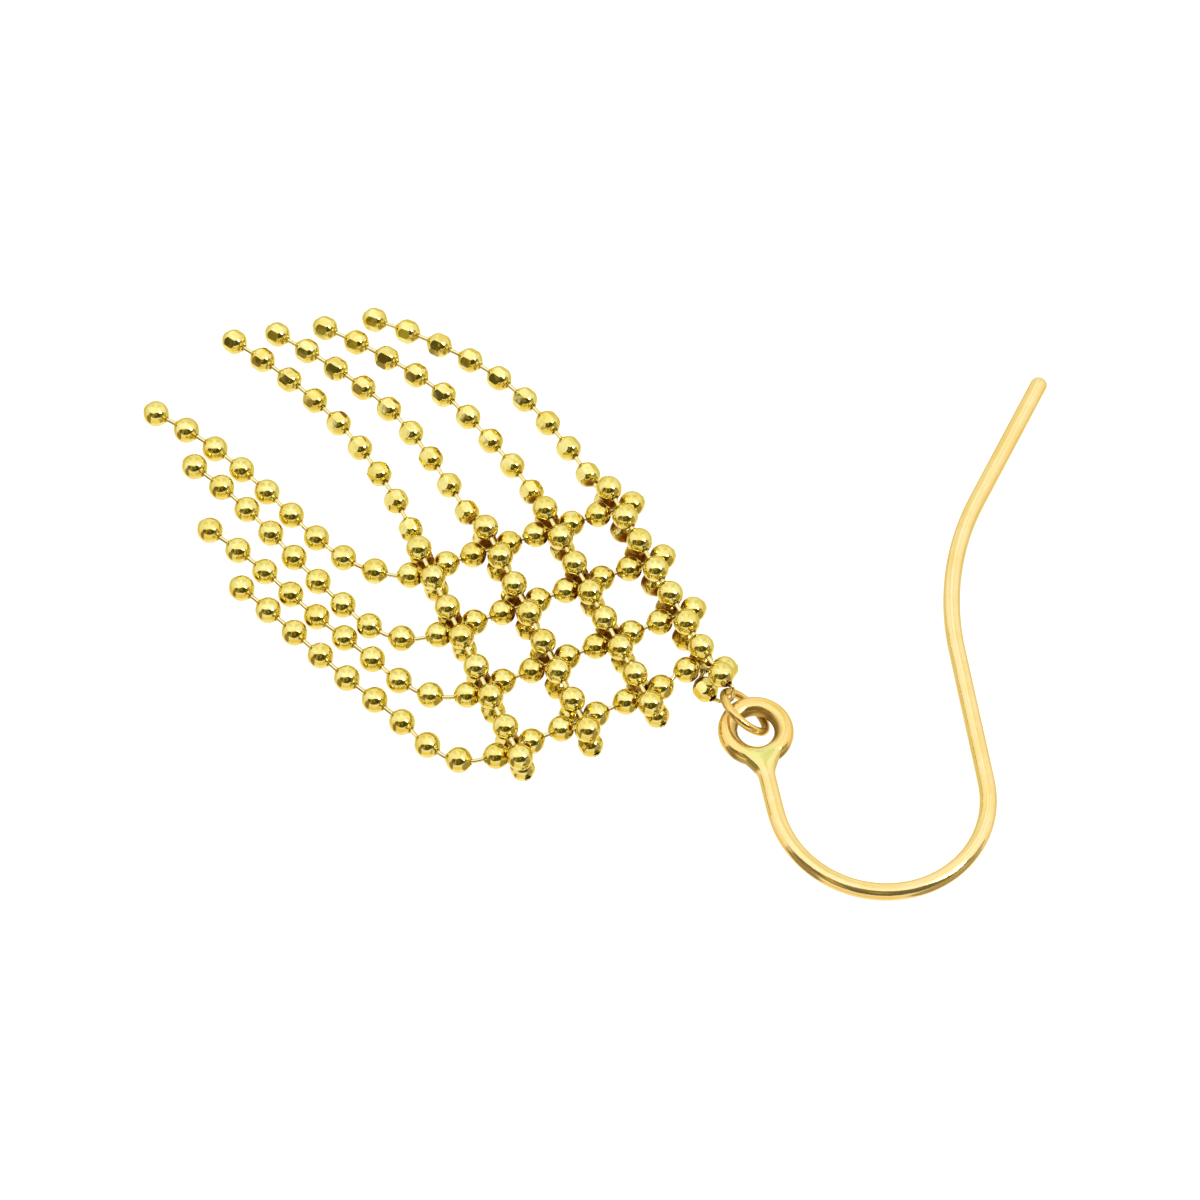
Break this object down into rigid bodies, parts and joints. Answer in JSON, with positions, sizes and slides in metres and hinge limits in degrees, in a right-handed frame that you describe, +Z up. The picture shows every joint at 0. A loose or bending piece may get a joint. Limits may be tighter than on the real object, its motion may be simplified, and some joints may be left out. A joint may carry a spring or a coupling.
{
  "type": "fringe earring",
  "caption": "Fringe earring: a woven mesh of ball chain with loose smooth and faceted strands, on a jump ring and a hooked ear wire, lying flat.",
  "frame": {"origin": "on the table, under the middle of the earring as it lies", "axes": "+Z up from the table, +X from the tips of the fringe to the ear wire, +Y away from the viewer"},
  "size_m": [0.0354, 0.0262, 0.0021],
  "materials": {
    "warm_gold": "polished",
    "bead_gold": "polished",
    "cut_gold": "diamond-cut, polished",
    "thread_gold": "polished wire"
  },
  "bodies": {
    "root": {"ear_wire": "warm_gold", "jump_ring": "warm_gold", "ring_tie": "thread_gold", "top_chain_1": "bead_gold", "top_chain_2": "bead_gold", "top_chain_3": "bead_gold", "top_chain_4": "bead_gold", "cross_chain_1": "bead_gold", "cross_chain_2": "bead_gold", "cross_chain_3": "bead_gold", "cross_chain_4": "bead_gold", "base_chain_1": "cut_gold", "base_chain_2": "cut_gold", "base_chain_3": "cut_gold", "base_chain_4": "cut_gold", "top_thread_1": "thread_gold", "top_thread_2": "thread_gold", "top_thread_3": "thread_gold", "top_thread_4": "thread_gold", "cross_thread_1": "thread_gold", "cross_thread_2": "thread_gold", "cross_thread_3": "thread_gold", "cross_thread_4": "thread_gold", "base_thread_1": "thread_gold", "base_thread_2": "thread_gold", "base_thread_3": "thread_gold", "base_thread_4": "thread_gold"}
  },
  "joints": []
}
